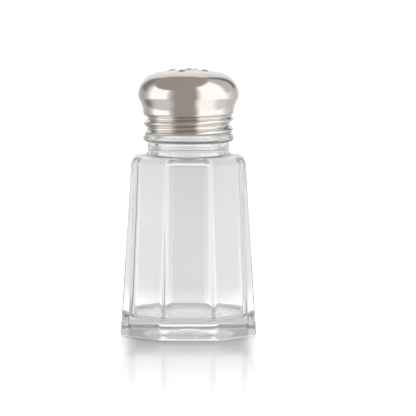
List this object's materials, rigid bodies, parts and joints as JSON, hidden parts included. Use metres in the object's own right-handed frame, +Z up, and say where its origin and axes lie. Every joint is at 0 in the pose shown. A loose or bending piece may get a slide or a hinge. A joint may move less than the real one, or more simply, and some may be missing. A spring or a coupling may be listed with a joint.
{
  "type": "salt shaker",
  "caption": "Table salt shaker: a tapering eight-sided clear glass jar with a beaded neck, closed by a mushroom-shaped stainless steel screw cap with raised sprinkling holes.",
  "frame": {"origin": "centre of the base, on the table", "axes": "+Z up along the axis of the jar and its thread, -Y towards the viewer of the picture and square to one panel"},
  "size_m": [0.0448, 0.0448, 0.0883],
  "materials": {
    "clear_glass": "clear, fire-polished",
    "seal_plastic": "translucent, smooth",
    "steel": "polished, with fine spun lines"
  },
  "bodies": {
    "jar": {"glass_jar": "clear_glass", "glass_neck": "clear_glass"},
    "seal": {"seal_ring": "seal_plastic"},
    "cap": {"screw_cap": "steel"}
  },
  "joints": [
    {"name": "cap_turn", "type": "hinge", "parent": "jar", "child": "seal", "pos_m": [0, 0, 0.0667], "axis": [0, 0, 1], "range_deg": [0, 1080]},
    {"name": "cap_lift", "type": "slide", "parent": "seal", "child": "cap", "axis": [0, 0, 1], "range_m": [0, 0.0105]}
  ],
  "couplings": [
    {"joint": "cap_lift", "follows": "cap_turn", "m_per_rad": 0.00055704}
  ]
}
